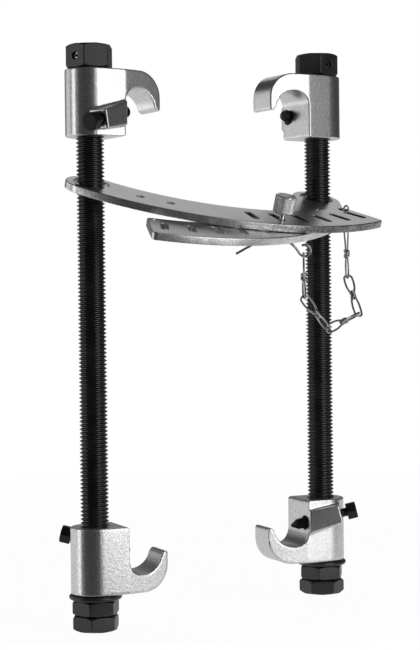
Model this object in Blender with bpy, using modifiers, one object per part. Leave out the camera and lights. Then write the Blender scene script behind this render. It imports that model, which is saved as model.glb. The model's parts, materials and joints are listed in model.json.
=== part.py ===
# Coil spring compressor: two screw units with hook jaws, tied by a pair of slotted link bars.
import math

import bmesh
import bpy
from mathutils import Matrix, Vector

MM = 0.001

# Fits
GAP = 0.3 * MM
RUNNING_FIT = 0.4 * MM
SCREW_FIT = 0.3 * MM
PIN_FIT = 0.3 * MM
SLOT_FIT = 0.5 * MM

# Screw unit
ROD_DIAMETER = 18 * MM
ROD_END_RECESS = 0.8 * MM
NUT_FLATS = 27 * MM
NUT_HEIGHT = 9.6 * MM
HEX_RIM = 1.05
HEX_LIP = 0.97
HEX_CHAMFER_ANGLE = 30.0
HEAD_HEIGHT = 15.2 * MM
HEAD_PIN_DIAMETER = 4 * MM
HEAD_PIN_RECESS = 1.8 * MM
WASHER_DIAMETER = 34 * MM
WASHER_THICKNESS = 3.2 * MM
RIGHT_UNIT_RISE = 5.7 * MM
JAW_OPENING = 248.1 * MM
HEAD_TURN = (49.5, 4.8)
HEAD_PIN_TURN = (19.5, -85.2)
STOP_NUT_TURN = (47.3, 48.0)
JAM_NUT_TURN = (51.3, 27.0)
LOWER_JAW_TURN = -8.0

# Jaw casting, drawn with its mouth up, its hook along +X and its boss on the +Y side
JAW_HEIGHT = 43 * MM
JAW_HALF_WIDTH = 15.75 * MM
JAW_WALL = 17.8 * MM
JAW_CORNER = 1.6 * MM
HOOK_REACH = 46.2 * MM
HOOK_TIP_HALF_WIDTH = 10.4 * MM
HOOK_BELLY_RADIUS = 17 * MM
MOUTH_FLOOR = 11.6 * MM
MOUTH_HEEL_RADIUS = 10 * MM
MOUTH_TOE_RADIUS = 14 * MM
HOOK_TIP_HEIGHT = 25.5 * MM
HOOK_TIP_RADIUS = 1.9 * MM

# Lock screw and its boss
SCREW_DIAMETER = 8 * MM
SCREW_LENGTH = 46.3 * MM
SCREW_HEAD_FLATS = 10.5 * MM
SCREW_HEAD_HEIGHT = 6.8 * MM
SCREW_NECK = 5.8 * MM
SCREW_NECK_LENGTH = 4.5 * MM
SCREW_CONE = 4.5 * MM
SCREW_TIP_FLAT = 1.6 * MM
SCREW_TIP = Vector((26 * MM, 5 * MM, 25 * MM))
SCREW_TOE_IN = 27.0
SCREW_DIP = 14.0
BOSS_END = 35.5 * MM
BOSS_OUTER_WIDTH = 12.6 * MM
BOSS_INNER_WIDTH = 17.0 * MM

# Link bars
BAR_THICKNESS = 5 * MM
BAR_WIDTH = 33 * MM
BAR_RADIUS = 133.6 * MM
BAR_HEIGHT = 283 * MM
BAR_TILT = 20.0
BAR_START_ANGLE = -61.1
BAR_END_ANGLE = 26.5
BAR_CORNER = 3 * MM
RIGHT_BAR_TURN = 4.5
RING_HOLE = 23 * MM
RING_PLAY = 1.7 * MM
SLOT_LENGTH = 15.5 * MM
SLOT_SLANT = 10.0
SLOT_END_ANGLE = 4.0
SLOT_PITCH_ANGLE = 7.5
SLOT_COUNT = 6
TRIM_HOLE = 5 * MM
TRIM_HOLE_ANGLES = (-46.0, -37.5)
TETHER_HOLE = 6.6 * MM
TETHER_STRIP = 2.2 * MM
TETHER_INSET = 5.3 * MM

# Link pin, its keeper washer and the wire clip
SHANK_DIAMETER = 3.6 * MM
SHANK_TAIL = 4.5 * MM
PIN_ALONG_SLOT = 5 * MM
KNOB_DIAMETER = 13.8 * MM
KNOB_HEIGHT = 11.6 * MM
KNOB_LIFT = 4.5 * MM
KNOB_SOCKET = 7 * MM
KNOB_CHAMFER = 0.8 * MM
KEEPER_DIAMETER = 9.5 * MM
KEEPER_THICKNESS = 1.2 * MM
CLIP_WIRE = 1.6 * MM
CLIP_TURN = -31.4
CLIP_BELOW_KEEPER = 1.9 * MM
CLIP_EYE_RADIUS = 3.8 * MM
CLIP_EYE_SWEEP = 265.0
CLIP_ROUTE = (
    (-22.5, -6.5), (-16, -3.2), (-9, -0.4), (-4, 0),
    (4, 0), (8, -0.5), (12, -2.9), (15.5, -6.4),
)

# Tether chain
CHAIN_WIRE = 1.3 * MM
LINK_PITCH = 31 * MM
LINK_WIDTH = 7 * MM
TETHER_LOOP_WIDTH = 8.4 * MM
CHAIN_SEAT = 0.3 * MM
KNOT_DIAMETER = 3.4 * MM
KNOT_LENGTH = 3.6 * MM
KNOT_BEND_RADIUS = 0.9 * MM
LINK_HEADINGS = ((54.0, -60.0), (11.8, -41.6), (10.7, 17.7), (78.7, 57.4))
TETHER_RISE = 4.6 * MM

# Colours, roughness and metallic values
BLACK_OXIDE = ((0.012, 0.011, 0.012, 1), 0.42, 0.6)
CAST_STEEL = ((0.56, 0.55, 0.56, 1), 0.36, 0.95)
PLATED_STEEL = ((0.50, 0.49, 0.50, 1), 0.28, 1.0)
ROUND_STEPS = 40
SHADE_ANGLE = math.radians(35)


def clear_scene():
    for item in list(bpy.data.objects):
        bpy.data.objects.remove(item, do_unlink=True)


def new_collection(name):
    found = bpy.data.collections.new(name)
    bpy.context.scene.collection.children.link(found)
    return found


def finish_material(name, look):
    colour, roughness, metallic = look
    material = bpy.data.materials.new(name)
    material.use_nodes = True
    shader = material.node_tree.nodes["Principled BSDF"]
    shader.inputs["Base Color"].default_value = colour
    shader.inputs["Roughness"].default_value = roughness
    shader.inputs["Metallic"].default_value = metallic
    return material


def to_hang_point():
    """Moves the pieces so that the origin lies where a coil sits in the left upper hook."""
    seat = stack_heights()[3] - MOUTH_FLOOR
    return Matrix.Translation((-JAW_WALL - MOUTH_HEEL_RADIUS, 0, -seat))


def add_part(name, mesh, look, place):
    item = bpy.data.objects.new(name, mesh)
    parts.objects.link(item)
    item.data.materials.clear()
    item.data.materials.append(finish_material(name, look))
    item.matrix_world = to_hang_point() @ place
    item.data.shade_smooth()
    item.data.set_sharp_from_angle(angle=SHADE_ANGLE)
    return item


def add_helper(name, data):
    item = bpy.data.objects.new(name, data)
    helpers.objects.link(item)
    item.hide_render = True
    item.display_type = "WIRE"
    return item


def baked(item):
    """Turns an object with modifiers, or a curve, into a plain mesh with its caps welded."""
    bpy.context.view_layer.update()
    graph = bpy.context.evaluated_depsgraph_get()
    mesh = bpy.data.meshes.new_from_object(item.evaluated_get(graph))
    edit = bmesh.new()
    edit.from_mesh(mesh)
    bmesh.ops.remove_doubles(edit, verts=edit.verts, dist=0.001 * MM)
    bmesh.ops.recalc_face_normals(edit, faces=edit.faces)
    edit.to_mesh(mesh)
    edit.free()
    bpy.data.objects.remove(item, do_unlink=True)
    return mesh


def combine(name, mesh, others):
    """Applies (operation, mesh) pairs to a mesh in turn."""
    for operation, other in others:
        body = add_helper(name, mesh)
        tool = add_helper(name + "_tool", other)
        step = body.modifiers.new("step", "BOOLEAN")
        step.operation = operation
        step.object = tool
        mesh = baked(body)
        bpy.data.objects.remove(tool, do_unlink=True)
    return mesh


def cone_mesh(name, low_radius, high_radius, low, high, segments=ROUND_STEPS, turn=0.0):
    """A closed cylinder, cone or prism along Z from low to high."""
    edit = bmesh.new()
    middle = Matrix.Translation((0, 0, (low + high) / 2)) @ Matrix.Rotation(turn, 4, "Z")
    bmesh.ops.create_cone(
        edit,
        cap_ends=True,
        segments=segments,
        radius1=low_radius,
        radius2=high_radius,
        depth=high - low,
        matrix=middle,
    )
    mesh = bpy.data.meshes.new(name)
    edit.to_mesh(mesh)
    edit.free()
    return mesh


def moved(mesh, matrix):
    mesh.transform(matrix)
    return mesh


def box_mesh(name, low, high):
    edit = bmesh.new()
    bmesh.ops.create_cube(edit, size=1)
    mesh = bpy.data.meshes.new(name)
    edit.to_mesh(mesh)
    edit.free()
    low = Vector(low)
    high = Vector(high)
    stretch = Matrix.Diagonal((*(high - low), 1))
    return moved(mesh, Matrix.Translation((low + high) / 2) @ stretch)


def turned_mesh(name, profile, steps=ROUND_STEPS):
    """Turns (radius, height) points about Z, as a ring unless they start on the axis."""
    edit = bmesh.new()
    points = [edit.verts.new((radius, 0, height)) for radius, height in profile]
    ends = points[1:] + points[:1] if profile[0][0] > 0 else points[1:]
    for first, second in zip(points, ends):
        edit.edges.new((first, second))
    mesh = bpy.data.meshes.new(name)
    edit.to_mesh(mesh)
    edit.free()
    item = add_helper(name, mesh)
    screw = item.modifiers.new("turn", "SCREW")
    screw.steps = steps
    screw.render_steps = steps
    screw.use_merge_vertices = True
    screw.merge_threshold = 0.005 * MM
    return baked(item)


def flat_mesh(name, rings, half_depth):
    """Extrudes outlines, the outer one first, by half_depth to both sides of the XY plane."""
    curve = bpy.data.curves.new(name, "CURVE")
    curve.dimensions = "2D"
    curve.fill_mode = "BOTH"
    curve.extrude = half_depth
    for ring in rings:
        spline = curve.splines.new("POLY")
        spline.points.add(len(ring) - 1)
        for point, (x, y) in zip(spline.points, ring):
            point.co = (x, y, 0, 1)
        spline.use_cyclic_u = True
    return baked(add_helper(name, curve))


def wire_mesh(name, route, diameter, closed=False):
    curve = bpy.data.curves.new(name, "CURVE")
    curve.dimensions = "3D"
    curve.bevel_depth = diameter / 2
    curve.bevel_resolution = 1
    curve.use_fill_caps = not closed
    spline = curve.splines.new("POLY")
    spline.points.add(len(route) - 1)
    for point, place in zip(spline.points, route):
        point.co = (*place, 1)
    spline.use_cyclic_u = closed
    return baked(add_helper(name, curve))


def arc(centre, radius, start, end, steps):
    """Points on an arc, in degrees, with both ends."""
    angles = [math.radians(start + (end - start) * step / steps) for step in range(steps + 1)]
    return [(centre[0] + radius * math.cos(a), centre[1] + radius * math.sin(a)) for a in angles]


def hex_mesh(name, flats, low, high, turn, chamfer_low=True, chamfer_high=True):
    """A hex prism with a corner at the given turn, and its corners turned down at one or both ends."""
    corner = flats / 2 / math.cos(math.pi / 6)
    prism = cone_mesh(name, corner, corner, low, high, 6, math.radians(turn - 30))
    rim = corner * HEX_RIM
    lip = flats / 2 * HEX_LIP
    drop = (rim - lip) * math.tan(math.radians(HEX_CHAMFER_ANGLE))
    top = [(lip, high), (rim, high - drop)] if chamfer_high else [(rim, high + drop)]
    bottom = [(rim, low + drop), (lip, low)] if chamfer_low else [(rim, low - drop)]
    profile = [(0, top[0][1])] + top + bottom + [(0, bottom[-1][1])]
    return combine(name, prism, [("INTERSECT", turned_mesh(name + "_crown", profile, 48))])


def jaw_mesh():
    """The hook jaw: side view and plan view cut from one block, the boss joined on, the bores cut."""
    belly = (HOOK_REACH - HOOK_BELLY_RADIUS, HOOK_BELLY_RADIUS)
    heel = (JAW_WALL + MOUTH_HEEL_RADIUS, MOUTH_FLOOR + MOUTH_HEEL_RADIUS)
    toe = (heel[0], MOUTH_FLOOR + MOUTH_TOE_RADIUS)
    tip = (HOOK_REACH - HOOK_TIP_RADIUS, HOOK_TIP_HEIGHT - HOOK_TIP_RADIUS)
    back = -JAW_HALF_WIDTH - JAW_CORNER
    corner = (JAW_WALL - JAW_CORNER, JAW_HEIGHT - JAW_CORNER)
    side = [(back, JAW_HEIGHT), (back, 0), (belly[0], 0)]
    side += arc(belly, HOOK_BELLY_RADIUS, -84, 0, 12)
    side += arc(tip, HOOK_TIP_RADIUS, 0, 165, 6)
    side += arc(toe, MOUTH_TOE_RADIUS, -10, -90, 9)
    side += arc(heel, MOUTH_HEEL_RADIUS, -100, -180, 8)
    side += arc(corner, JAW_CORNER, 0, 90, 3)
    profile = flat_mesh("jaw_side", [side], JAW_HALF_WIDTH * 1.5)
    profile = moved(profile, Matrix.Rotation(math.radians(90), 4, "X"))
    plan = arc((0, 0), JAW_HALF_WIDTH, 90, 270, 20)
    plan += [(JAW_WALL, -JAW_HALF_WIDTH), (HOOK_REACH * 1.02, -HOOK_TIP_HALF_WIDTH)]
    plan += [(HOOK_REACH * 1.02, HOOK_TIP_HALF_WIDTH), (JAW_WALL, JAW_HALF_WIDTH)]
    outline = flat_mesh("jaw_plan", [plan], JAW_HEIGHT * 1.2)
    casting = combine("jaw", profile, [("INTERSECT", outline)])
    boss = cone_mesh(
        "jaw_boss",
        BOSS_OUTER_WIDTH / math.sqrt(2),
        BOSS_INNER_WIDTH / math.sqrt(2),
        SCREW_LENGTH - BOSS_END - SCREW_HEAD_HEIGHT,
        SCREW_LENGTH - SCREW_HEAD_HEIGHT,
        4,
        math.radians(45),
    )
    boss = moved(boss, screw_frame())
    far = (3 * HOOK_REACH, JAW_HEIGHT, 2 * JAW_HEIGHT)
    beyond = box_mesh("jaw_beyond", (JAW_WALL, -JAW_HEIGHT, -JAW_HEIGHT), far)
    boss = combine("jaw_boss", boss, [("DIFFERENCE", beyond)])
    passage = ROD_DIAMETER / 2 + RUNNING_FIT
    bore = cone_mesh("jaw_bore", passage, passage, -JAW_HEIGHT, 2 * JAW_HEIGHT)
    hole = SCREW_DIAMETER / 2 + SCREW_FIT
    tap = moved(cone_mesh("jaw_tap", hole, hole, -SCREW_LENGTH, SCREW_LENGTH, 24), screw_frame())
    return combine("jaw", casting, [("UNION", boss), ("DIFFERENCE", bore), ("DIFFERENCE", tap)])


def screw_frame():
    """The lock screw's own frame: its origin under the head, its +Z towards the tip."""
    toe_in = math.radians(SCREW_TOE_IN)
    dip = math.radians(SCREW_DIP)
    ahead = Vector((math.cos(dip) * math.cos(toe_in), -math.cos(dip) * math.sin(toe_in), -math.sin(dip)))
    across = Vector((0, 0, 1)).cross(ahead).normalized()
    below = across.cross(ahead)
    start = SCREW_TIP - ahead * (SCREW_LENGTH - SCREW_HEAD_HEIGHT)
    return Matrix.Translation(start) @ Matrix((below, across, ahead)).transposed().to_4x4()


def lock_screw_mesh():
    shank = SCREW_LENGTH - SCREW_HEAD_HEIGHT
    radius = SCREW_DIAMETER / 2
    sunk = -SCREW_HEAD_HEIGHT / 2
    neck = SCREW_NECK / 2
    body = turned_mesh("lock_shank", [
        (0, shank),
        (SCREW_TIP_FLAT / 2, shank),
        (radius, shank - SCREW_CONE),
        (radius, SCREW_NECK_LENGTH),
        (neck, SCREW_NECK_LENGTH - radius + neck),
        (neck, sunk),
        (0, sunk),
    ], 24)
    head = hex_mesh("lock_head", SCREW_HEAD_FLATS, -SCREW_HEAD_HEIGHT, 0, 30, True, False)
    return combine("lock_screw", head, [("UNION", body)])


def bar_point(angle, radius):
    """A point of the bar's own plane, by its angle from the arc's lowest point."""
    start = math.radians(BAR_START_ANGLE)
    turn = math.radians(angle)
    return Vector((
        radius * math.sin(turn) - BAR_RADIUS * math.sin(start),
        BAR_RADIUS * math.cos(start) - radius * math.cos(turn),
    ))


def slot_angle(index):
    """Slots are counted back from the bar's end, with the last one a set angle short of it."""
    return BAR_END_ANGLE - SLOT_END_ANGLE - SLOT_PITCH_ANGLE * (SLOT_COUNT - 1 - index)


def slot_heading(index):
    return slot_angle(index) + SLOT_SLANT - 90


def slot_centre(index):
    return bar_point(slot_angle(index), BAR_RADIUS)


def slot_along(index):
    heading = math.radians(slot_heading(index))
    return Vector((math.cos(heading), math.sin(heading)))


def slot_ring(index):
    """The round-ended outline of one slanted slot."""
    radius = SHANK_DIAMETER / 2 + SLOT_FIT
    heading = slot_heading(index)
    reach = slot_along(index) * (SLOT_LENGTH / 2 - radius)
    centre = slot_centre(index)
    far = arc(centre + reach, radius, heading - 90, heading + 90, 6)
    return far + arc(centre - reach, radius, heading + 90, heading + 270, 6)


def back_from_end(distance, radius):
    """The angle of a point on an arc of the bar, by its distance from the bar's end."""
    return BAR_END_ANGLE - math.degrees(math.asin(distance / radius))


def bar_mesh():
    """A curved flat bar with a ring at its start, slanted slots and a square end."""
    outer = BAR_RADIUS + BAR_WIDTH / 2
    inner = BAR_RADIUS - BAR_WIDTH / 2
    start = BAR_START_ANGLE
    outer_end = back_from_end(BAR_CORNER, outer - BAR_CORNER)
    inner_end = back_from_end(BAR_CORNER, inner + BAR_CORNER)
    steps = 22
    turns = [step / steps for step in range(steps)]
    outline = [bar_point(start + (outer_end - start) * turn, outer) for turn in turns]
    outline += arc(bar_point(outer_end, outer - BAR_CORNER), BAR_CORNER, outer_end - 90, BAR_END_ANGLE, 4)
    outline += arc(bar_point(inner_end, inner + BAR_CORNER), BAR_CORNER, BAR_END_ANGLE, inner_end + 90, 4)
    outline += [bar_point(inner_end + (start - inner_end) * turn, inner) for turn in turns[1:]]
    outline += arc((0, 0), BAR_WIDTH / 2, start + 90, start + 260, 14)
    rings = [outline, arc((0, 0), RING_HOLE / 2, 0, 350, 35)]
    rings += [slot_ring(index) for index in range(SLOT_COUNT)]
    for angle in TRIM_HOLE_ANGLES:
        rings.append(arc(bar_point(angle, BAR_RADIUS), TRIM_HOLE / 2, 0, 337.5, 15))
    rings.append(arc(tether_hole(), TETHER_HOLE / 2, 0, 337.5, 15))
    return flat_mesh("bar", rings, BAR_THICKNESS / 2)


def tether_hole():
    radius = BAR_RADIUS - BAR_WIDTH / 2 + TETHER_INSET
    return bar_point(back_from_end(TETHER_STRIP + TETHER_HOLE / 2, radius), radius)


def tether_strip():
    radius = BAR_RADIUS - BAR_WIDTH / 2 + TETHER_INSET
    return bar_point(back_from_end(TETHER_STRIP / 2, radius), radius)


def left_bar_frame():
    return Matrix.Translation((0, 0, BAR_HEIGHT)) @ Matrix.Rotation(math.radians(BAR_TILT), 4, "X")


def pin_point():
    """Where the pin stands in the left bar: in the second slot, towards its outer end."""
    return slot_centre(1) + slot_along(1) * PIN_ALONG_SLOT


def right_ring_reach():
    """How far the right bar's ring lies from the left one, with the pin in the right bar's first slot."""
    turn = Matrix.Rotation(math.radians(RIGHT_BAR_TURN), 2) @ Matrix.Diagonal((-1, 1))
    centre = turn @ slot_centre(0)
    along = turn @ slot_along(0)
    ring_side = -(BAR_THICKNESS + GAP) * math.tan(math.radians(BAR_TILT))
    slid = (pin_point().y - ring_side - centre.y) / along.y
    return pin_point().x - centre.x - along.x * slid


def rod_spacing():
    return right_ring_reach() + RING_PLAY


def right_bar_frame():
    """The same bar turned over, lying under the left one and swung a little about its ring."""
    drop = (BAR_THICKNESS + GAP) / math.cos(math.radians(BAR_TILT))
    tilt = Matrix.Rotation(math.radians(BAR_TILT), 4, "X")
    turn = Matrix.Rotation(math.radians(RIGHT_BAR_TURN), 4, "Z") @ Matrix.Rotation(math.pi, 4, "Y")
    return Matrix.Translation((right_ring_reach(), 0, BAR_HEIGHT - drop)) @ tilt @ turn


def pin_frame():
    return left_bar_frame() @ Matrix.Translation(pin_point().to_3d())


def keeper_top():
    return -BAR_THICKNESS * 1.5 - 2 * GAP


def clip_frame():
    height = keeper_top() - KEEPER_THICKNESS - CLIP_BELOW_KEEPER
    turn = Matrix.Rotation(math.radians(CLIP_TURN), 4, "Z")
    return pin_frame() @ Matrix.Translation((0, 0, height)) @ turn


def clip_eye():
    """The wire's last point, and the eye's centre to its left."""
    last = Vector(CLIP_ROUTE[-1]) * MM
    ahead = (last - Vector(CLIP_ROUTE[-2]) * MM).normalized()
    return last, last + Vector((-ahead.y, ahead.x)) * CLIP_EYE_RADIUS


def clip_mesh():
    last, centre = clip_eye()
    start = math.degrees(math.atan2(last.y - centre.y, last.x - centre.x))
    route = [(x * MM, y * MM) for x, y in CLIP_ROUTE[:-1]]
    route += arc(centre, CLIP_EYE_RADIUS, start, start + CLIP_EYE_SWEEP, 16)
    return wire_mesh("clip", [(x, 0, z) for x, z in route], CLIP_WIRE)


def chain_joints():
    """The points where the links meet, from the clip's eye to the strip beside the bar's tether hole."""
    frame = clip_frame()
    centre = clip_eye()[1]
    seat = CLIP_EYE_RADIUS - (CLIP_WIRE - CHAIN_WIRE) / 2
    joints = [frame @ Vector((centre.x, 0, centre.y - seat))]
    for heading, lean in LINK_HEADINGS:
        turn = math.radians(heading)
        rise = math.radians(lean)
        step = Vector((math.cos(rise) * math.cos(turn), math.cos(rise) * math.sin(turn), math.sin(rise)))
        joints.append(joints[-1] + step * LINK_PITCH)
    strip = left_bar_frame() @ tether_strip().to_3d()
    joints.append(strip + (strip - joints[-1]).normalized() * TETHER_RISE)
    return joints


def loop_mesh(name, start, end, side, width):
    """A closed teardrop of wire, narrow at the knot and round at its end, with a leg to each side."""
    along = (end - start).normalized()
    side = (side - along * side.dot(along)).normalized()
    radius = (width - CHAIN_WIRE) / 2
    ring = arc((0, KNOT_BEND_RADIUS), KNOT_BEND_RADIUS, 180, 360, 4)
    ring += arc((0, (end - start).length - radius), radius, 0, 180, 8)
    return wire_mesh(name, [start + side * x + along * y for x, y in ring], CHAIN_WIRE, True)


def link_mesh(name, joints, index, sides):
    """One link: two wire loops, each turned to suit its neighbour, and the knot that ties them."""
    near = joints[index]
    far = joints[index + 1]
    along = (far - near).normalized()
    knot = near + along * LINK_PITCH / 2
    grip = along * KNOT_LENGTH / 4
    width = TETHER_LOOP_WIDTH if index == len(joints) - 2 else LINK_WIDTH
    first = loop_mesh(name, knot + grip, near - along * (CHAIN_WIRE + CHAIN_SEAT), sides[0], LINK_WIDTH)
    second = loop_mesh(name, knot - grip, far, sides[1], width)
    barrel = cone_mesh(name, KNOT_DIAMETER / 2, KNOT_DIAMETER / 2, -KNOT_LENGTH / 2, KNOT_LENGTH / 2, 12)
    turn = along.to_track_quat("Z", "Y").to_matrix().to_4x4()
    barrel = moved(barrel, Matrix.Translation(knot) @ turn)
    return combine(name, barrel, [("UNION", first), ("UNION", second)])


def link_sides(joints):
    """For each link, the two directions across its loops, so that neighbours cross at a right angle."""
    steps = [(second - first).normalized() for first, second in zip(joints, joints[1:])]
    bends = [first.cross(second).normalized() for first, second in zip(steps, steps[1:])]
    eye_wire = clip_frame().to_3x3() @ Vector((1, 0, 0))
    strip = tether_hole() - tether_strip()
    strip_side = left_bar_frame().to_3x3() @ strip.to_3d()
    firsts = [steps[0].cross(eye_wire).normalized()] + [step.cross(bend) for step, bend in zip(steps[1:], bends)]
    seconds = bends + [strip_side]
    return list(zip(firsts, seconds))


def stack_heights():
    """Heights of the screw unit's pieces above its foot."""
    stop = NUT_HEIGHT + GAP
    washer = stop + NUT_HEIGHT + GAP
    lower = washer + WASHER_THICKNESS + GAP
    tilt = math.radians(BAR_TILT)
    bar_top = BAR_HEIGHT + BAR_WIDTH / 2 * math.sin(tilt) + BAR_THICKNESS / 2 * math.cos(tilt)
    opening = max(JAW_OPENING, bar_top + GAP - lower - JAW_HEIGHT)
    upper = lower + 2 * JAW_HEIGHT + opening
    return stop, washer, lower, upper, upper + GAP


def nut_mesh(name, low, high, turn):
    bore = ROD_DIAMETER / 2 + GAP
    nut = hex_mesh(name, NUT_FLATS, low, high, turn)
    drill = cone_mesh(name, bore, bore, low - NUT_HEIGHT, high + NUT_HEIGHT)
    return combine(name, nut, [("DIFFERENCE", drill)])


def washer_mesh():
    """A thick washer with a half-round rim."""
    half = WASHER_THICKNESS / 2
    rim = [(r, z) for r, z in arc((WASHER_DIAMETER / 2 - half, half), half, 90, -90, 6)]
    inner = ROD_DIAMETER / 2 + GAP
    return turned_mesh("washer", [(inner, WASHER_THICKNESS)] + rim + [(inner, 0)])


def rod_mesh(top):
    end = ROD_DIAMETER / 16
    radius = ROD_DIAMETER / 2
    low = ROD_END_RECESS
    high = top - ROD_END_RECESS
    upper_half = [(0, high), (radius - end, high), (radius, high - end)]
    lower_half = [(radius, low + end), (radius - end, low), (0, low)]
    return turned_mesh("rod", upper_half + lower_half)


def cross_bar(name, diameter, length, height, turn):
    bar = cone_mesh(name, diameter / 2, diameter / 2, -length / 2, length / 2, 16)
    lay = Matrix.Rotation(math.radians(turn), 4, "Z") @ Matrix.Rotation(math.pi / 2, 4, "Y")
    return moved(bar, Matrix.Translation((0, 0, height)) @ lay)


def build_unit(side, index, jaw, screw):
    stop, washer, lower, upper, head = stack_heights()
    base = Matrix.Translation((rod_spacing() * index, 0, RIGHT_UNIT_RISE * index))
    facing = Matrix.Rotation(math.pi * index, 4, "Z")
    top = head + HEAD_HEIGHT
    pin_height = head + HEAD_HEIGHT / 2
    pin_turn = HEAD_PIN_TURN[index]
    hole = HEAD_PIN_DIAMETER + 2 * PIN_FIT
    rod = combine(side + "_rod", rod_mesh(top), [
        ("DIFFERENCE", cross_bar("rod_hole", hole, 2 * NUT_FLATS, pin_height, pin_turn)),
    ])
    cap = combine(side + "_head", nut_mesh(side + "_head", head, top, HEAD_TURN[index]), [
        ("DIFFERENCE", cross_bar("head_hole", hole, 2 * NUT_FLATS, pin_height, pin_turn)),
    ])
    pin_length = NUT_FLATS - 2 * HEAD_PIN_RECESS
    add_part(side + "_threaded_rod", rod, BLACK_OXIDE, base)
    add_part(side + "_hex_head", cap, BLACK_OXIDE, base)
    pin = cross_bar("head_pin", HEAD_PIN_DIAMETER, pin_length, pin_height, pin_turn)
    add_part(side + "_head_pin", pin, BLACK_OXIDE, base)
    stop_nut = nut_mesh("stop_nut", stop, stop + NUT_HEIGHT, STOP_NUT_TURN[index])
    add_part(side + "_stop_nut", stop_nut, BLACK_OXIDE, base)
    jam_nut = nut_mesh("jam_nut", 0, NUT_HEIGHT, JAM_NUT_TURN[index])
    add_part(side + "_jam_nut", jam_nut, BLACK_OXIDE, base)
    thrust_washer = moved(washer_mesh(), Matrix.Translation((0, 0, washer)))
    add_part(side + "_thrust_washer", thrust_washer, BLACK_OXIDE, base)
    turn_over = Matrix.Rotation(math.pi, 4, "X")
    high = base @ Matrix.Translation((0, 0, upper)) @ facing @ turn_over
    low_turn = Matrix.Rotation(math.radians(LOWER_JAW_TURN), 4, "Z")
    low = base @ Matrix.Translation((0, 0, lower)) @ facing @ low_turn
    add_part(side + "_upper_jaw", jaw.copy(), CAST_STEEL, high)
    add_part(side + "_lower_jaw", jaw.copy(), CAST_STEEL, low)
    add_part(side + "_upper_lock_screw", screw.copy(), BLACK_OXIDE, high @ screw_frame())
    add_part(side + "_lower_lock_screw", screw.copy(), BLACK_OXIDE, low @ screw_frame())


def build_link_pin():
    frame = pin_frame()
    radius = SHANK_DIAMETER / 2
    knob_low = BAR_THICKNESS / 2 + KNOB_LIFT
    knob_high = knob_low + KNOB_HEIGHT
    keeper_low = keeper_top() - KEEPER_THICKNESS
    shank = cone_mesh("shank", radius, radius, keeper_low - SHANK_TAIL, knob_low + KNOB_SOCKET - GAP, 20)
    eye = CLIP_WIRE / 2 + PIN_FIT
    hole = cone_mesh("clip_hole", eye, eye, -KNOB_DIAMETER, KNOB_DIAMETER, 12)
    hole = moved(hole, frame.inverted() @ clip_frame() @ Matrix.Rotation(math.pi / 2, 4, "Y"))
    add_part("link_pin_shank", combine("shank", shank, [("DIFFERENCE", hole)]), PLATED_STEEL, frame)
    grip = KNOB_DIAMETER / 2
    edge = KNOB_CHAMFER
    socket = radius + PIN_FIT
    knob = turned_mesh("knob", [
        (0, knob_high),
        (grip - edge, knob_high),
        (grip, knob_high - edge),
        (grip, knob_low + edge),
        (grip - edge, knob_low),
        (socket, knob_low),
        (socket, knob_low + KNOB_SOCKET),
        (0, knob_low + KNOB_SOCKET),
    ])
    add_part("link_pin_knob", knob, PLATED_STEEL, frame)
    keeper = [(KEEPER_DIAMETER / 2, keeper_top()), (KEEPER_DIAMETER / 2, keeper_low)]
    keeper += [(radius + PIN_FIT, keeper_low), (radius + PIN_FIT, keeper_top())]
    add_part("link_pin_washer", turned_mesh("keeper", keeper, 28), PLATED_STEEL, frame)
    add_part("wire_clip", clip_mesh(), PLATED_STEEL, clip_frame())


def build_chain():
    joints = chain_joints()
    start = Matrix.Translation(joints[0])
    for index, sides in enumerate(link_sides(joints)):
        name = f"chain_link_{index + 1}"
        link = moved(link_mesh(name, joints, index, sides), start.inverted())
        add_part(name, link, PLATED_STEEL, start)


clear_scene()
parts = new_collection("coil_spring_compressor")
helpers = new_collection("cutters")
helpers.hide_render = True
jaw_casting = jaw_mesh()
lock_screw = lock_screw_mesh()
for number, hand in enumerate(("left", "right")):
    build_unit(hand, number, jaw_casting, lock_screw)
bar_blank = bar_mesh()
add_part("left_link_bar", bar_blank.copy(), PLATED_STEEL, left_bar_frame())
right_bar = add_part("right_link_bar", bar_blank.copy(), PLATED_STEEL, right_bar_frame())
pivot = add_helper("right_bar_pivot", None)
pivot.matrix_world = to_hang_point() @ pin_frame()
right_bar.parent = pivot
right_bar.matrix_parent_inverse = pivot.matrix_world.inverted()
build_link_pin()
build_chain()
bpy.context.view_layer.update()
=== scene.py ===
import json
import math

import bpy
from mathutils import Matrix, Vector


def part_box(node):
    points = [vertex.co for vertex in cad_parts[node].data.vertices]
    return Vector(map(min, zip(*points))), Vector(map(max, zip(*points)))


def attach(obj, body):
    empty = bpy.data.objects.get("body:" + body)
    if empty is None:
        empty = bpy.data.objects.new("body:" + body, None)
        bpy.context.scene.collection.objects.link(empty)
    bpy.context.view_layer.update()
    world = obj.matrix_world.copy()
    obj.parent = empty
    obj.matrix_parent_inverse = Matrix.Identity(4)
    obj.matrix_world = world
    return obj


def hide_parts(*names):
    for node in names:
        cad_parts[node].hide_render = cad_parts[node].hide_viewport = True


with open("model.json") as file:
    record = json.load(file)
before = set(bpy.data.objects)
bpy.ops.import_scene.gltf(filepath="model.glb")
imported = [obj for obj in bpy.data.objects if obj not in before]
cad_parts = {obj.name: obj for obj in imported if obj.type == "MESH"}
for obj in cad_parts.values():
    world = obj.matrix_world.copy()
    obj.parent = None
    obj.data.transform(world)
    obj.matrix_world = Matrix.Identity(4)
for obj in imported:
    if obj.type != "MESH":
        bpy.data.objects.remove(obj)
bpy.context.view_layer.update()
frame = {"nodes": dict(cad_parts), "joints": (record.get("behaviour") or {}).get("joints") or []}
nodes = frame["nodes"]
joints = {joint["name"]: joint for joint in frame["joints"]}
mm = 0.001
print("frame loaded:", len(nodes), "CAD nodes")


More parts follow.
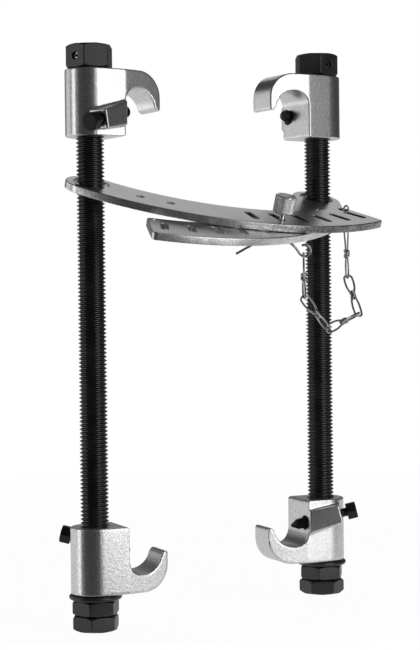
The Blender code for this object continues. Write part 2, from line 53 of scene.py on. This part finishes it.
# small tools used by every piece
def deselectAll():
    if bpy.context.object and bpy.context.object.mode != "OBJECT":
        bpy.ops.object.mode_set(mode="OBJECT")
    bpy.ops.object.select_all(action="DESELECT")


def pick(piece):
    deselectAll()
    piece.select_set(True)
    bpy.context.view_layer.objects.active = piece
    return piece


def editAll(piece):
    pick(piece)
    bpy.ops.object.mode_set(mode="EDIT")
    bpy.ops.mesh.select_mode(type="VERT")
    bpy.ops.mesh.select_all(action="SELECT")


def closeEdit(piece):
    bpy.ops.object.mode_set(mode="OBJECT")
    return piece


def addModifier(piece, kind, settings):
    pick(piece)
    bpy.ops.object.modifier_add(type=kind)
    modifier = piece.modifiers[-1]
    for key, value in settings.items():
        setattr(modifier, key, value)
    bpy.ops.object.modifier_apply(modifier=modifier.name)


def smoothBy(piece, angle=32):
    pick(piece)
    bpy.ops.object.shade_smooth_by_angle(angle=math.radians(angle))


def settle(piece, matrix=None):
    # the place goes into the mesh, so the object stays at the origin
    piece.data.transform((matrix or Matrix()) @ piece.matrix_basis)
    piece.matrix_basis = Matrix()
    return piece


def mergePoints(piece, distance=0.002 * mm):
    editAll(piece)
    bpy.ops.mesh.remove_doubles(threshold=distance)
    bpy.ops.mesh.normals_make_consistent(inside=False)
    return closeEdit(piece)


def cutAcross(piece, point, normal, upper):
    # keeps one side of a plane and closes the cut
    editAll(piece)
    bpy.ops.mesh.bisect(
        plane_co=point, plane_no=normal, use_fill=True,
        clear_inner=not upper, clear_outer=upper, threshold=0.001 * mm,
    )
    return closeEdit(piece)


def drawLine(name, points, closed=False):
    # one vertex, drawn out point by point like a sketched profile
    deselectAll()
    bpy.ops.mesh.primitive_plane_add(size=1 * mm, location=(0, 0, 0))
    piece = bpy.context.object
    piece.name = name
    editAll(piece)
    bpy.ops.mesh.merge(type="CENTER")
    bpy.ops.transform.translate(value=points[0])
    for before, after in zip(points, points[1:]):
        step = Vector(after) - Vector(before)
        bpy.ops.mesh.extrude_vertices_move(TRANSFORM_OT_translate={"value": step})
    if closed:
        bpy.ops.mesh.select_all(action="SELECT")
        bpy.ops.mesh.edge_face_add()
        bpy.ops.mesh.delete(type="ONLY_FACE")
    return closeEdit(piece)


def turnProfile(name, profile, steps, closed=True):
    # profile is (radius, height) pairs, turned about Z
    piece = drawLine(name, [(radius, 0, height) for radius, height in profile], closed)
    editAll(piece)
    bpy.ops.mesh.spin(steps=steps, angle=math.tau, center=(0, 0, 0), axis=(0, 0, 1))
    closeEdit(piece)
    return mergePoints(piece)


def copyNode(node, name):
    source = nodes[node]
    piece = source.copy()
    piece.data = source.data.copy()
    piece.name = name
    piece.parent = None
    for key in list(piece.keys()):
        del piece[key]
    bpy.context.scene.collection.objects.link(piece)
    piece.data.materials.clear()
    editAll(piece)
    bpy.ops.mesh.remove_doubles(threshold=0.002 * mm)
    bpy.ops.mesh.dissolve_limited(angle_limit=math.radians(0.4))
    return closeEdit(piece)


def roundEdges(piece, width, segments=3, angle=28):
    addModifier(piece, "BEVEL", {
        "width": width, "segments": segments, "limit_method": "ANGLE",
        "angle_limit": math.radians(angle), "use_clamp_overlap": False, "loop_slide": False,
    })
    smoothBy(piece)
    addModifier(piece, "WEIGHTED_NORMAL", {"mode": "FACE_AREA", "weight": 50, "keep_sharp": True})
    return piece


def joinPieces(first, *others):
    pick(first)
    for other in others:
        other.select_set(True)
    bpy.ops.object.join()
    return first


def finishPiece(piece, material, body, slot, *replaced):
    piece.data.materials.clear()
    piece.data.materials.append(material)
    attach(piece, body)
    if replaced:
        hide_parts(*replaced)
    return piece


def wirePiece(name, points, thickness, closed=False, resolution=6):
    # a bevelled curve through the points, made into a mesh
    deselectAll()
    bpy.ops.curve.primitive_bezier_curve_add(location=(0, 0, 0))
    item = bpy.context.object
    item.name = name
    curve = item.data
    curve.splines.clear()
    curve.dimensions = "3D"
    curve.bevel_depth = thickness / 2
    curve.bevel_resolution = 4
    curve.resolution_u = resolution
    curve.use_fill_caps = not closed
    spline = curve.splines.new("BEZIER")
    spline.bezier_points.add(len(points) - 1)
    for knot, place in zip(spline.bezier_points, points):
        knot.co = place
        knot.handle_left_type = knot.handle_right_type = "AUTO"
    spline.use_cyclic_u = closed
    pick(item)
    bpy.ops.object.convert(target="MESH")
    return mergePoints(bpy.context.object)


# shader maths
class Signal:
    def __init__(self, tree, socket):
        self.tree = tree
        self.socket = socket

    def node(self, kind, settings, inputs, output=0):
        made = self.tree.nodes.new(kind)
        for key, value in settings.items():
            setattr(made, key, value)
        for key, value in inputs.items():
            if isinstance(value, Signal):
                self.tree.links.new(value.socket, made.inputs[key])
            else:
                made.inputs[key].default_value = value
        return Signal(self.tree, made.outputs[output])

    def __add__(self, other):
        return self.node("ShaderNodeMath", {"operation": "ADD"}, {0: self, 1: other})

    __radd__ = __add__

    def __sub__(self, other):
        return self.node("ShaderNodeMath", {"operation": "SUBTRACT"}, {0: self, 1: other})

    def __rsub__(self, other):
        return self.node("ShaderNodeMath", {"operation": "SUBTRACT"}, {0: other, 1: self})

    def __mul__(self, other):
        return self.node("ShaderNodeMath", {"operation": "MULTIPLY"}, {0: self, 1: other})

    __rmul__ = __mul__


def newFinish(name):
    material = bpy.data.materials.new(name)
    material.use_nodes = True
    tree = material.node_tree
    coordinates = tree.nodes.new("ShaderNodeTexCoord")
    return material, tree.nodes["Principled BSDF"], Signal(tree, coordinates.outputs["Object"])


def feed(shader, values):
    for key, value in values.items():
        if isinstance(value, Signal):
            value.tree.links.new(value.socket, shader.inputs[key])
        else:
            shader.inputs[key].default_value = value


def noise(place, scale, detail=3, rough=0.55):
    settings = {"noise_dimensions": "3D"}
    return place.node("ShaderNodeTexNoise", settings, {
        "Vector": place, "Scale": scale, "Detail": detail, "Roughness": rough,
    })


def between(signal, low, high, first=0.0, second=1.0):
    return signal.node("ShaderNodeMapRange", {"interpolation_type": "SMOOTHSTEP"}, {
        "Value": signal, "From Min": low, "From Max": high, "To Min": first, "To Max": second,
    })


def mixColours(factor, first, second):
    settings = {"data_type": "RGBA"}
    return factor.node("ShaderNodeMix", settings, {0: factor, 6: first, 7: second}, 2)


def bumps(height, strength, depth):
    return height.node("ShaderNodeBump", {}, {
        "Height": height, "Strength": strength, "Distance": depth,
    })


def grey(level, warm=0.0):
    return (level * (1 + warm), level, level * (1 - warm), 1)


def castSilverFinish():
    look = {
        "pale": grey(0.78, 0.002), "dull": grey(0.55), "shade": grey(0.42), "shadeShare": 0.12,
        "grain": 1500, "coarse": 630, "mottle": 85, "rough": 0.27, "pitDepth": 0.22 * mm,
    }
    material, shader, place = newFinish("cast_silver")
    grain = noise(place, look["grain"], 2, 0.6)
    coarse = noise(place, look["coarse"], 2, 0.5)
    mottle = noise(place, look["mottle"], 4, 0.6)
    speck = between(grain * 0.6 + coarse * 0.4, 0.36, 0.62)
    colour = mixColours(speck, look["dull"], look["pale"])
    colour = mixColours(mottle * look["shadeShare"], colour, look["shade"])
    feed(shader, {
        "Base Color": colour, "Metallic": 1.0, "Roughness": look["rough"] + mottle * 0.06,
        "Normal": bumps(grain * 0.55 + coarse * 0.75, 0.4, look["pitDepth"]),
    })
    return material


def blackOxideFinish(name, level, brown, rough, shine):
    material, shader, place = newFinish(name)
    patch = noise(place, 60, 4, 0.6)
    fine = noise(place, 900, 3, 0.6)
    # rubbed places are a little paler and browner
    rubbed = (level * 2.1 + brown, level * 1.9 + brown * 0.55, level * 2.0 + brown * 0.45, 1)
    feed(shader, {
        "Base Color": mixColours(between(patch, 0.35, 0.72), grey(level), rubbed),
        "Metallic": 0.1, "Specular IOR Level": shine,
        "Roughness": rough + patch * 0.2, "Normal": bumps(fine, 0.12, 0.1 * mm),
    })
    return material


def zincPlateFinish():
    look = {
        "bright": (0.70, 0.69, 0.71, 1), "dark": (0.42, 0.41, 0.43, 1), "cloud": 38, "streak": 130,
        "stretch": (1, 0.16, 1), "fine": 1500, "rough": 0.22, "scratch": 0.12 * mm,
    }
    material, shader, place = newFinish("zinc_plate")
    cloud = noise(place, look["cloud"], 5, 0.62)
    stretched = place.node("ShaderNodeMapping", {}, {"Vector": place, "Scale": look["stretch"]})
    streak = noise(stretched, look["streak"], 3, 0.55)
    fine = noise(place, look["fine"], 2, 0.5)
    feed(shader, {
        "Base Color": mixColours(cloud * 0.65 + streak * 0.35, look["dark"], look["bright"]),
        "Metallic": 1.0, "Roughness": look["rough"] + cloud * 0.16,
        "Normal": bumps(fine * 0.3 + streak * 0.7, 0.14, look["scratch"]),
    })
    return material


def shearedRimFinish(name, paintedReflectionShare):
    # the dull grey is a painted dark reflection, laid on the rim along X towards the slots
    look = {
        "bright": grey(0.92), "dark": grey(0.52), "dull": grey(0.13), "grain": 1300, "patch": 70,
        "paintedReflectionFrom": 0 * mm, "paintedReflectionTo": 90 * mm, "rough": 0.22, "tear": 0.16 * mm,
    }
    material, shader, place = newFinish(name)
    grain = noise(place, look["grain"], 4, 0.65)
    patch = noise(place, look["patch"], 3, 0.6)
    speck = between(grain * 0.75 + patch * 0.25, 0.40, 0.60)
    colour = mixColours(speck, look["dark"], look["bright"])
    # painted dark reflection: the rim colour darkens along X towards the slots, standing in for the
    # dark room the rim reflects there
    across = place.node("ShaderNodeSeparateXYZ", {}, {0: place}, 0)
    paintedReflectionMask = between(across, look["paintedReflectionFrom"], look["paintedReflectionTo"], 0.0, paintedReflectionShare)
    feed(shader, {
        "Base Color": mixColours(paintedReflectionMask * (1.35 - speck * 0.7), colour, look["dull"]),
        "Metallic": 1.0, "Roughness": look["rough"] + patch * 0.14,
        "Normal": bumps(grain, 0.45, look["tear"]),
    })
    return material


def steelFinish(name, look):
    material, shader, place = newFinish(name)
    cloud = noise(place, 260, 3, 0.6)
    feed(shader, {
        "Base Color": mixColours(cloud, look["dark"], look["bright"]),
        "Metallic": look["metal"], "Roughness": 0.16 + cloud * 0.14,
    })
    return material


castSilver = castSilverFinish()
oxideThread = blackOxideFinish("black_oxide_thread", 0.008, 0.008, 0.20, 0.75)
oxideHex = blackOxideFinish("black_oxide_hex", 0.010, 0.008, 0.26, 0.6)
oxideScrew = blackOxideFinish("black_oxide_screw", 0.005, 0.002, 0.32, 0.3)
zincPlate = zincPlateFinish()
# the left bar's rim carries a painted dark reflection; the right bar's rim has none
shearedRims = {
    "left": shearedRimFinish("sheared_rim_painted_dark_reflection", 0.85),
    "right": shearedRimFinish("sheared_rim_plain", 0.0),
}
brightWire = steelFinish("bright_wire", {
    "bright": (0.54, 0.53, 0.525, 1), "dark": (0.30, 0.29, 0.295, 1), "metal": 1.0,
})
paleSteel = steelFinish("pale_steel", {
    "bright": (0.95, 0.94, 0.93, 1), "dark": (0.70, 0.69, 0.685, 1), "metal": 0.85,
})
print("finishes made")


# jaws: the CAD casting, with every edge softened as the mould leaves it
jawLook = {"skin": 0.45 * mm, "softness": 20, "keep": 0.4, "smooth": 60}
for side in ("left", "right"):
    for level in ("upper", "lower"):
        node = f"{side}_{level}_jaw"
        casting = copyNode(node, f"{side}_{level}_jaw_casting")
        skin = {"mode": "VOXEL", "voxel_size": jawLook["skin"], "adaptivity": 0}
        addModifier(casting, "REMESH", skin)
        addModifier(casting, "SMOOTH", {"factor": 0.5, "iterations": jawLook["softness"]})
        addModifier(casting, "DECIMATE", {"ratio": jawLook["keep"]})
        smoothBy(casting, jawLook["smooth"])
        finishPiece(casting, castSilver, f"{side}_{level}", "cast_jaw", node)
print("jaws done")


# threaded rods
rodLook = {
    "pitch": 2.5 * mm, "crest": 9.0 * mm, "root": 7.55 * mm,
    "crestFlat": 0.34 * mm, "rootFlat": 0.42 * mm, "steps": 44,
}


def threadPiece(name, look, low, high):
    pitch = look["pitch"]
    flank = (pitch - look["crestFlat"] - look["rootFlat"]) / 2
    start = low - 2 * pitch
    profile = [
        (look["root"], 0, start),
        (look["root"], 0, start + look["rootFlat"]),
        (look["crest"], 0, start + look["rootFlat"] + flank),
        (look["crest"], 0, start + look["rootFlat"] + flank + look["crestFlat"]),
        (look["root"], 0, start + pitch),
    ]
    piece = drawLine(name, profile)
    addModifier(piece, "SCREW", {
        "angle": math.tau, "screw_offset": pitch, "iterations": math.ceil((high - low) / pitch) + 4,
        "steps": look["steps"], "render_steps": look["steps"], "use_merge_vertices": True,
        "merge_threshold": 0.004 * mm,
    })
    mergePoints(piece)
    cutAcross(piece, (0, 0, low), (0, 0, 1), False)
    cutAcross(piece, (0, 0, high), (0, 0, 1), True)
    return mergePoints(piece)


for side in ("left", "right"):
    low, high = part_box(f"{side}_threaded_rod")
    place = joints[f"{side}_rod_spin"]["pos_m"]
    rod = threadPiece(f"{side}_rod_thread", rodLook, low.z, high.z)
    settle(rod, Matrix.Translation((place[0], place[1], 0)))
    smoothBy(rod, 24)
    finishPiece(rod, oxideThread, f"{side}_rod_set", "black_oxide", f"{side}_threaded_rod")
print("rods done")


# hex heads, nuts and washers
hexLook = {"edge": 0.6 * mm, "pinTurn": {"left": 19.5, "right": -85.2}, "washerHole": 9.3 * mm}
for side in ("left", "right"):
    body = f"{side}_rod_set"
    for part in ("hex_head", "stop_nut", "jam_nut"):
        block = copyNode(f"{side}_{part}", f"{side}_{part}_steel")
        roundEdges(block, hexLook["edge"], 2, 24)
        finishPiece(block, oxideHex, body, "black_oxide", f"{side}_{part}")
    low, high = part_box(f"{side}_head_pin")
    pin = turnProfile(f"{side}_head_pin_rolled", [
        (1.1 * mm, -11.7 * mm), (1.75 * mm, -11.7 * mm), (2.0 * mm, -11.4 * mm),
        (2.0 * mm, 11.4 * mm), (1.75 * mm, 11.7 * mm), (1.1 * mm, 11.7 * mm),
    ], 32)
    swing = Matrix.Rotation(math.radians(hexLook["pinTurn"][side]), 4, "Z")
    lay = swing @ Matrix.Rotation(math.pi / 2, 4, "Y")
    settle(pin, Matrix.Translation((low + high) / 2) @ lay)
    smoothBy(pin, 30)
    finishPiece(pin, brightWire, body, "black_oxide", f"{side}_head_pin")
    low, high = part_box(f"{side}_thrust_washer")
    half = (high.z - low.z) / 2
    outer = (high.x - low.x) / 2 - half
    turns = [math.radians(angle) for angle in range(90, -91, -15)]
    rim = [(outer + half * math.cos(turn), half * math.sin(turn)) for turn in turns]
    profile = [(hexLook["washerHole"], half)] + rim + [(hexLook["washerHole"], -half)]
    washer = turnProfile(f"{side}_thrust_washer_steel", profile, 96)
    settle(washer, Matrix.Translation((low + high) / 2))
    smoothBy(washer, 40)
    finishPiece(washer, oxideHex, body, "black_oxide", f"{side}_thrust_washer")
print("hexes and washers done")


# lock screws
lockLook = {
    "pitch": 1.25 * mm, "crest": 4.0 * mm, "root": 3.3 * mm, "crestFlat": 0.16 * mm,
    "rootFlat": 0.2 * mm, "steps": 28, "shank": 39.5 * mm, "cone": 4.5 * mm,
    "neck": 2.9 * mm, "neckEnd": 4.5 * mm, "edge": 0.3 * mm,
}
lockPlaces = {
    "left_upper": (-35.949, -22.4, -22.956),
    "left_lower": (-32.753, 23.316, -287.944),
    "right_upper": (158.827, 22.4, -17.256),
    "right_lower": (155.63, -23.316, -282.244),
}
for unit, place in lockPlaces.items():
    axis = Vector(joints[f"{unit}_screw_slide"]["axis"])
    aim = axis.to_track_quat("Z", "Y").to_matrix().to_4x4()
    here = Matrix.Translation(Vector(place) * mm) @ aim
    head = copyNode(f"{unit}_lock_screw", f"{unit}_lock_screw_steel")
    cutAcross(head, here @ Vector((0, 0, 0.02 * mm)), axis, True)
    roundEdges(head, lockLook["edge"], 2, 24)
    coneStart = lockLook["shank"] - lockLook["cone"]
    shank = threadPiece(f"{unit}_lock_thread", lockLook, lockLook["neckEnd"], coneStart)
    ends = turnProfile(f"{unit}_lock_tip", [
        (0, lockLook["shank"]), (0.5 * mm, lockLook["shank"]),
        (0.8 * mm, lockLook["shank"] - 0.2 * mm), (3.5 * mm, coneStart),
        (3.3 * mm, coneStart - 0.4 * mm), (0, coneStart - 0.4 * mm),
    ], 28, False)
    neck = turnProfile(f"{unit}_lock_neck", [
        (0, -1 * mm), (lockLook["neck"], -1 * mm),
        (lockLook["neck"], lockLook["neckEnd"] - 1 * mm),
        (lockLook["root"], lockLook["neckEnd"] - 0.5 * mm),
        (lockLook["root"], lockLook["neckEnd"] + 0.4 * mm), (0, lockLook["neckEnd"] + 0.4 * mm),
    ], 28, False)
    for piece in (shank, ends, neck):
        settle(piece, here)
    screw = joinPieces(head, shank, ends, neck)
    smoothBy(screw, 26)
    finishPiece(screw, oxideScrew, f"{unit}_screw", "black_oxide", f"{unit}_lock_screw")
print("lock screws done")


# link bars
barLook = {"edge": 0.6 * mm, "rim": 0.35}
pinAxis = Vector(joints["link_pin_slide"]["axis"])
for side in ("left", "right"):
    bar = copyNode(f"{side}_link_bar", f"{side}_link_bar_plate")
    roundEdges(bar, barLook["edge"], 3, 40)
    finishPiece(bar, zincPlate, f"{side}_bar", "plated_steel", f"{side}_link_bar")
    bar.data.materials.append(shearedRims[side])
    for face in bar.data.polygons:
        face.material_index = int(abs(face.normal.dot(pinAxis)) < barLook["rim"])
print("bars done")


# link pin: knurled knob, shank, keeper and wire clip
pinPlace = Vector(joints["right_bar_turn"]["pos_m"])
pinFrame = Matrix.Translation(pinPlace) @ Matrix.Rotation(math.atan2(-pinAxis.y, pinAxis.z), 4, "X")
knobLook = {
    "radius": 6.9 * mm, "low": 7.0 * mm, "high": 18.6 * mm, "around": 34, "rows": 10,
    "tooth": 0.34 * mm, "band": 0.9 * mm,
}


def knurledKnob(look):
    height = look["high"] - look["low"] - 2 * look["band"]
    deselectAll()
    bpy.ops.mesh.primitive_cylinder_add(
        vertices=look["around"], radius=look["radius"] - look["tooth"], depth=height,
        end_fill_type="NOTHING", location=(0, 0, (look["low"] + look["high"]) / 2),
    )
    knob = bpy.context.object
    knob.name = "link_pin_knob_knurl"
    settle(knob)
    # rows across the grip, then each square is turned into raised diamonds
    for row in range(1, look["rows"]):
        editAll(knob)
        level = look["low"] + look["band"] + height * row / look["rows"]
        bpy.ops.mesh.bisect(plane_co=(0, 0, level), plane_no=(0, 0, 1))
        closeEdit(knob)
    count = {tuple(sorted(edge.vertices)): 0 for edge in knob.data.edges}
    for face in knob.data.polygons:
        for key in face.edge_keys:
            count[tuple(sorted(key))] += 1
    editAll(knob)
    bpy.ops.mesh.poke()
    bpy.ops.mesh.select_all(action="DESELECT")
    closeEdit(knob)
    for edge in knob.data.edges:
        edge.select = count.get(tuple(sorted(edge.vertices)), 0) == 2
    bpy.ops.object.mode_set(mode="EDIT")
    bpy.ops.mesh.select_mode(type="EDGE")
    bpy.ops.mesh.dissolve_edges(use_verts=False)
    bpy.ops.mesh.select_all(action="SELECT")
    bpy.ops.mesh.select_mode(type="FACE")
    bpy.ops.mesh.select_all(action="DESELECT")
    closeEdit(knob)
    for face in knob.data.polygons:
        face.select = len(face.vertices) == 4
    bpy.ops.object.mode_set(mode="EDIT")
    bpy.ops.mesh.inset(thickness=0.12 * mm, depth=look["tooth"] * 0.55, use_individual=True)
    bpy.ops.mesh.poke(offset=look["tooth"] * 0.4)
    return closeEdit(knob)


knurl = knurledKnob(knobLook)
capRadius = knobLook["radius"] - knobLook["tooth"] * 0.5
gripRadius = knobLook["radius"] - knobLook["tooth"] * 1.2
lowBand = knobLook["low"] + knobLook["band"]
highBand = knobLook["high"] - knobLook["band"]
core = turnProfile("link_pin_knob_core", [
    (0, knobLook["high"]), (capRadius - 1.1 * mm, knobLook["high"]),
    (capRadius - 0.5 * mm, knobLook["high"] - 0.15 * mm), (capRadius, highBand + 0.15 * mm),
    (capRadius, highBand), (gripRadius, highBand - 0.1 * mm),
    (gripRadius, lowBand + 0.1 * mm), (capRadius, lowBand),
    (capRadius - 0.6 * mm, knobLook["low"]), (2.1 * mm, knobLook["low"]),
    (2.1 * mm, knobLook["low"] + 7 * mm), (0, knobLook["low"] + 7 * mm),
], 68, False)
smoothBy(core, 30)
knob = joinPieces(core, knurl)
knob.name = "link_pin_knob_steel"
settle(knob, pinFrame)
finishPiece(knob, paleSteel, "link_pin", "plated_steel", "link_pin_knob")

shank = copyNode("link_pin_shank", "link_pin_shank_steel")
roundEdges(shank, 0.3 * mm, 2, 50)
finishPiece(shank, paleSteel, "link_pin", "plated_steel", "link_pin_shank")

keeper = turnProfile("link_pin_keeper", [
    (2.1 * mm, -8.1 * mm), (4.45 * mm, -8.1 * mm), (4.75 * mm, -8.4 * mm),
    (4.75 * mm, -9.0 * mm), (4.45 * mm, -9.3 * mm), (2.1 * mm, -9.3 * mm),
], 64)
smoothBy(keeper, 30)
settle(keeper, pinFrame)
finishPiece(keeper, brightWire, "link_pin", "plated_steel", "link_pin_washer")

clipLook = {
    "wire": 1.6 * mm, "turn": -31.4, "level": -11.2 * mm, "eye": 3.8 * mm, "sweep": 265,
    "route": (
        (-24.5, -13.5), (-17, -7.2), (-9, -1.4), (-4, 0), (0, 0), (4, 0),
        (8, -0.5), (12, -2.9), (15.5, -6.4),
    ),
}
clipTurn = Matrix.Rotation(math.radians(clipLook["turn"]), 4, "Z")
clipFrame = pinFrame @ Matrix.Translation((0, 0, clipLook["level"])) @ clipTurn
last = Vector(clipLook["route"][-1]) * mm
ahead = (last - Vector(clipLook["route"][-2]) * mm).normalized()
eye = last + Vector((-ahead.y, ahead.x)) * clipLook["eye"]
eyeStart = math.atan2(last.y - eye.y, last.x - eye.x)
route = [Vector((x * mm, 0, z * mm)) for x, z in clipLook["route"]]
for step in range(1, 15):
    angle = eyeStart + math.radians(clipLook["sweep"]) * step / 14
    reach = clipLook["eye"]
    route.append(Vector((eye.x + reach * math.cos(angle), 0, eye.y + reach * math.sin(angle))))
clip = wirePiece("wire_clip_bent", route, clipLook["wire"])
smoothBy(clip, 50)
settle(clip, clipFrame)
finishPiece(clip, brightWire, "link_pin", "plated_wire", "wire_clip")
print("link pin done")


# tether chain
chainLook = {
    "wire": 1.4 * mm, "topWire": 1.25 * mm, "pitch": 31 * mm, "width": 7 * mm,
    "topWidth": 8.4 * mm, "topFullness": 0.75, "seat": 0.3 * mm, "bend": 0.9 * mm,
    "grip": 0.9 * mm, "wrapRadius": 1.55 * mm, "wrapTurns": 1.75,
    "topSide": (-0.9066, -0.3965, -0.1443),
    "joints": (
        (87.465, -71.045, -108.413), (96.576, -58.506, -135.26), (119.268, -53.765, -155.841),
        (148.287, -48.282, -146.416), (151.56, -31.904, -120.3), (141.877, -43.844, -73.982),
    ),
}
chainJoints = [Vector(place) * mm for place in chainLook["joints"]]
chainSteps = [(second - first).normalized() for first, second in zip(chainJoints, chainJoints[1:])]
chainBends = [first.cross(second).normalized() for first, second in zip(chainSteps, chainSteps[1:])]
eyeWire = clipFrame.to_3x3() @ Vector((1, 0, 0))
firstSides = [chainSteps[0].cross(eyeWire).normalized()]
firstSides += [step.cross(bend) for step, bend in zip(chainSteps[1:], chainBends)]
secondSides = chainBends + [Vector(chainLook["topSide"])]


def wireLoop(start, end, side, width, look, fullness):
    along = (end - start).normalized()
    side = (side - along * side.dot(along)).normalized()
    radius = (width - look["wire"]) / 2
    length = (end - start).length
    bend = look["bend"]
    points = []
    for step in range(5):
        angle = math.pi + math.pi * step / 4
        points.append(start + side * bend * math.cos(angle) + along * bend * (1 + math.sin(angle)))
    for part, share in ((0.22, 0.62), (0.42, 0.95)):
        points.append(start + side * radius * share * fullness + along * length * part)
    for step in range(9):
        angle = math.pi * step / 8
        out = length - radius + radius * math.sin(angle)
        points.append(start + side * radius * math.cos(angle) + along * out)
    for part, share in ((0.42, 0.95), (0.22, 0.62)):
        points.append(start - side * radius * share * fullness + along * length * part)
    return points


for index, step in enumerate(chainSteps):
    near, far = chainJoints[index], chainJoints[index + 1]
    knot = near + step * chainLook["pitch"] / 2
    onTop = index == len(chainSteps) - 1
    width = chainLook["topWidth"] if onTop else chainLook["width"]
    fullness = chainLook["topFullness"] if onTop else 1
    wire = chainLook["topWire"] if onTop else chainLook["wire"]
    grip = step * chainLook["grip"]
    nearEnd = near - step * (chainLook["wire"] + chainLook["seat"])
    name = f"chain_link_{index + 1}_wire"
    lower = wireLoop(knot + grip, nearEnd, firstSides[index], chainLook["width"], chainLook, 1)
    upper = wireLoop(knot - grip, far, secondSides[index], width, chainLook, fullness)
    loops = [wirePiece(name, points, wire, True) for points in (lower, upper)]
    turn = step.to_track_quat("Z", "Y").to_matrix()
    for end in (-1, 1):
        coil = []
        for stage in range(25):
            wound = chainLook["wrapTurns"] * stage / 24
            angle = math.tau * wound
            reach = chainLook["wrapRadius"]
            rise = end * (0.45 * mm + 1.25 * mm * wound)
            around = Vector((reach * math.cos(angle), reach * math.sin(angle), rise))
            coil.append(knot + turn @ around)
        loops.append(wirePiece(f"{name}_wrap", coil, wire * 0.9, resolution=2))
    link = joinPieces(*loops)
    smoothBy(link, 50)
    finishPiece(link, brightWire, "chain", "plated_wire", f"chain_link_{index + 1}")
print("chain done")


# floor and backdrop: white to the camera, dimmer in reflections, in a dark room
stageLook = {
    "level": -0.3463, "front": -0.09, "back": 4.0, "half": 2.5, "heading": 33.0,
    "middle": 0.06, "pale": 0.90, "white": 0.93, "seen": 0.97, "mirrored": 0.55,
    "room": 0.04, "behind": 0.22, "fill": 0.30,
}


def seenDirectly(tree):
    path = tree.nodes.new("ShaderNodeLightPath")
    camera = Signal(tree, path.outputs["Is Camera Ray"])
    glossy = Signal(tree, path.outputs["Is Glossy Ray"])
    clear = Signal(tree, path.outputs["Is Transmission Ray"])
    return camera, glossy, clear


def paleFloor(look):
    deselectAll()
    bpy.ops.mesh.primitive_plane_add(size=2)
    floor = bpy.context.object
    floor.name = "floor"
    depth = (look["back"] - look["front"]) / 2
    middle = Matrix.Translation((look["middle"], (look["back"] + look["front"]) / 2, 0))
    turn = Matrix.Rotation(-math.radians(look["heading"]), 4, "Z")
    lift = Matrix.Translation((look["middle"], 0, look["level"]))
    settle(floor, lift @ turn @ middle @ Matrix.Diagonal((look["half"], depth, 1, 1)))
    material, shader, place = newFinish("floor_white")
    fleck = noise(place, 3, 2, 0.5)
    feed(shader, {
        "Base Color": mixColours(fleck, grey(look["pale"]), grey(look["white"])),
        "Roughness": 0.9,
    })
    tree = material.node_tree
    camera, glossy, clear = seenDirectly(tree)
    away = place.node("ShaderNodeVectorMath", {"operation": "LENGTH"}, {0: place}, "Value")
    glow = place.node("ShaderNodeEmission", {}, {"Color": (1, 1, 1, 1), "Strength": 1.0})
    seen = (camera + clear) * between(away, 0.5, 1.2, look["seen"], 1.0) + glossy * look["mirrored"]
    plain = Signal(tree, shader.outputs[0])
    blend = seen.node("ShaderNodeMixShader", {}, {0: seen, 1: plain, 2: glow})
    tree.links.new(blend.socket, tree.nodes["Material Output"].inputs["Surface"])
    material.cycles.emission_sampling = "NONE"
    floor.data.materials.append(material)


def studioWorld(look):
    world = bpy.data.worlds.new("studio")
    bpy.context.scene.world = world
    world.use_nodes = True
    tree = world.node_tree
    coordinates = tree.nodes.new("ShaderNodeTexCoord")
    toward = Signal(tree, coordinates.outputs["Generated"])
    ahead = (math.sin(math.radians(look["heading"])), math.cos(math.radians(look["heading"])), 0)
    facing = toward.node(
        "ShaderNodeVectorMath", {"operation": "DOT_PRODUCT"}, {0: toward, 1: ahead}, "Value",
    )
    camera, glossy, clear = seenDirectly(tree)
    backdrop = between(facing, 0.70, 0.97, look["room"], look["behind"])
    fill = look["fill"]
    level = fill + (glossy + clear) * (backdrop - fill) + camera * (1 - fill)
    back = tree.nodes["Background"]
    back.inputs["Color"].default_value = (1, 1, 1, 1)
    tree.links.new(level.socket, back.inputs["Strength"])


paleFloor(stageLook)
studioWorld(stageLook)


def softBox(name, place, target, size, height, power):
    deselectAll()
    bpy.ops.object.light_add(type="AREA", location=place)
    lamp = bpy.context.object
    lamp.name = name
    lamp.data.shape = "RECTANGLE"
    lamp.data.size = size
    lamp.data.size_y = height
    lamp.data.energy = power
    lamp.rotation_euler = (Vector(target) - Vector(place)).to_track_quat("-Z", "Y").to_euler()


softBox("key_right", (0.22, -0.60, -0.04), (0.05, 0, -0.04), 0.38, 0.78, 1.95)
softBox("strip_left", (-0.85, 0.25, -0.10), (0, 0, -0.12), 0.22, 0.9, 1.4)
softBox("fill_back_left", (-0.55, 0.85, 0.0), (0.05, 0, -0.1), 0.6, 1.0, 1.5)
softBox("back_top", (0.71, 0.73, 0.58), (0.06, -0.03, -0.08), 0.8, 0.5, 0.7)
softBox("top", (0.05, -0.15, 0.9), (0.05, 0, -0.1), 0.8, 0.6, 0.1)

cameraLook = {
    "place": (-0.5339, -0.9411, -0.1348), "heading": 32.3, "pitch": 0.914, "roll": 0.65,
    "lens": 92.5,
}
deselectAll()
bpy.ops.object.camera_add(location=cameraLook["place"])
camera = bpy.context.object
heading = math.radians(cameraLook["heading"])
pitch = math.radians(cameraLook["pitch"])
roll = math.radians(cameraLook["roll"])
level = Vector((math.sin(heading), math.cos(heading), 0))
ahead = level * math.cos(pitch) - Vector((0, 0, math.sin(pitch)))
right = Vector((math.cos(heading), -math.sin(heading), 0))
above = right.cross(ahead)
rolledRight = right * math.cos(roll) - above * math.sin(roll)
rolledUp = right * math.sin(roll) + above * math.cos(roll)
turned = Matrix((rolledRight, rolledUp, -ahead)).transposed().to_4x4()
camera.matrix_world = Matrix.Translation(cameraLook["place"]) @ turned
camera.data.sensor_fit = "VERTICAL"
camera.data.sensor_height = 36
camera.data.lens = cameraLook["lens"]
camera.data.clip_end = 50
scene = bpy.context.scene
scene.camera = camera
scene.view_settings.view_transform = "Standard"

print("scene ready")
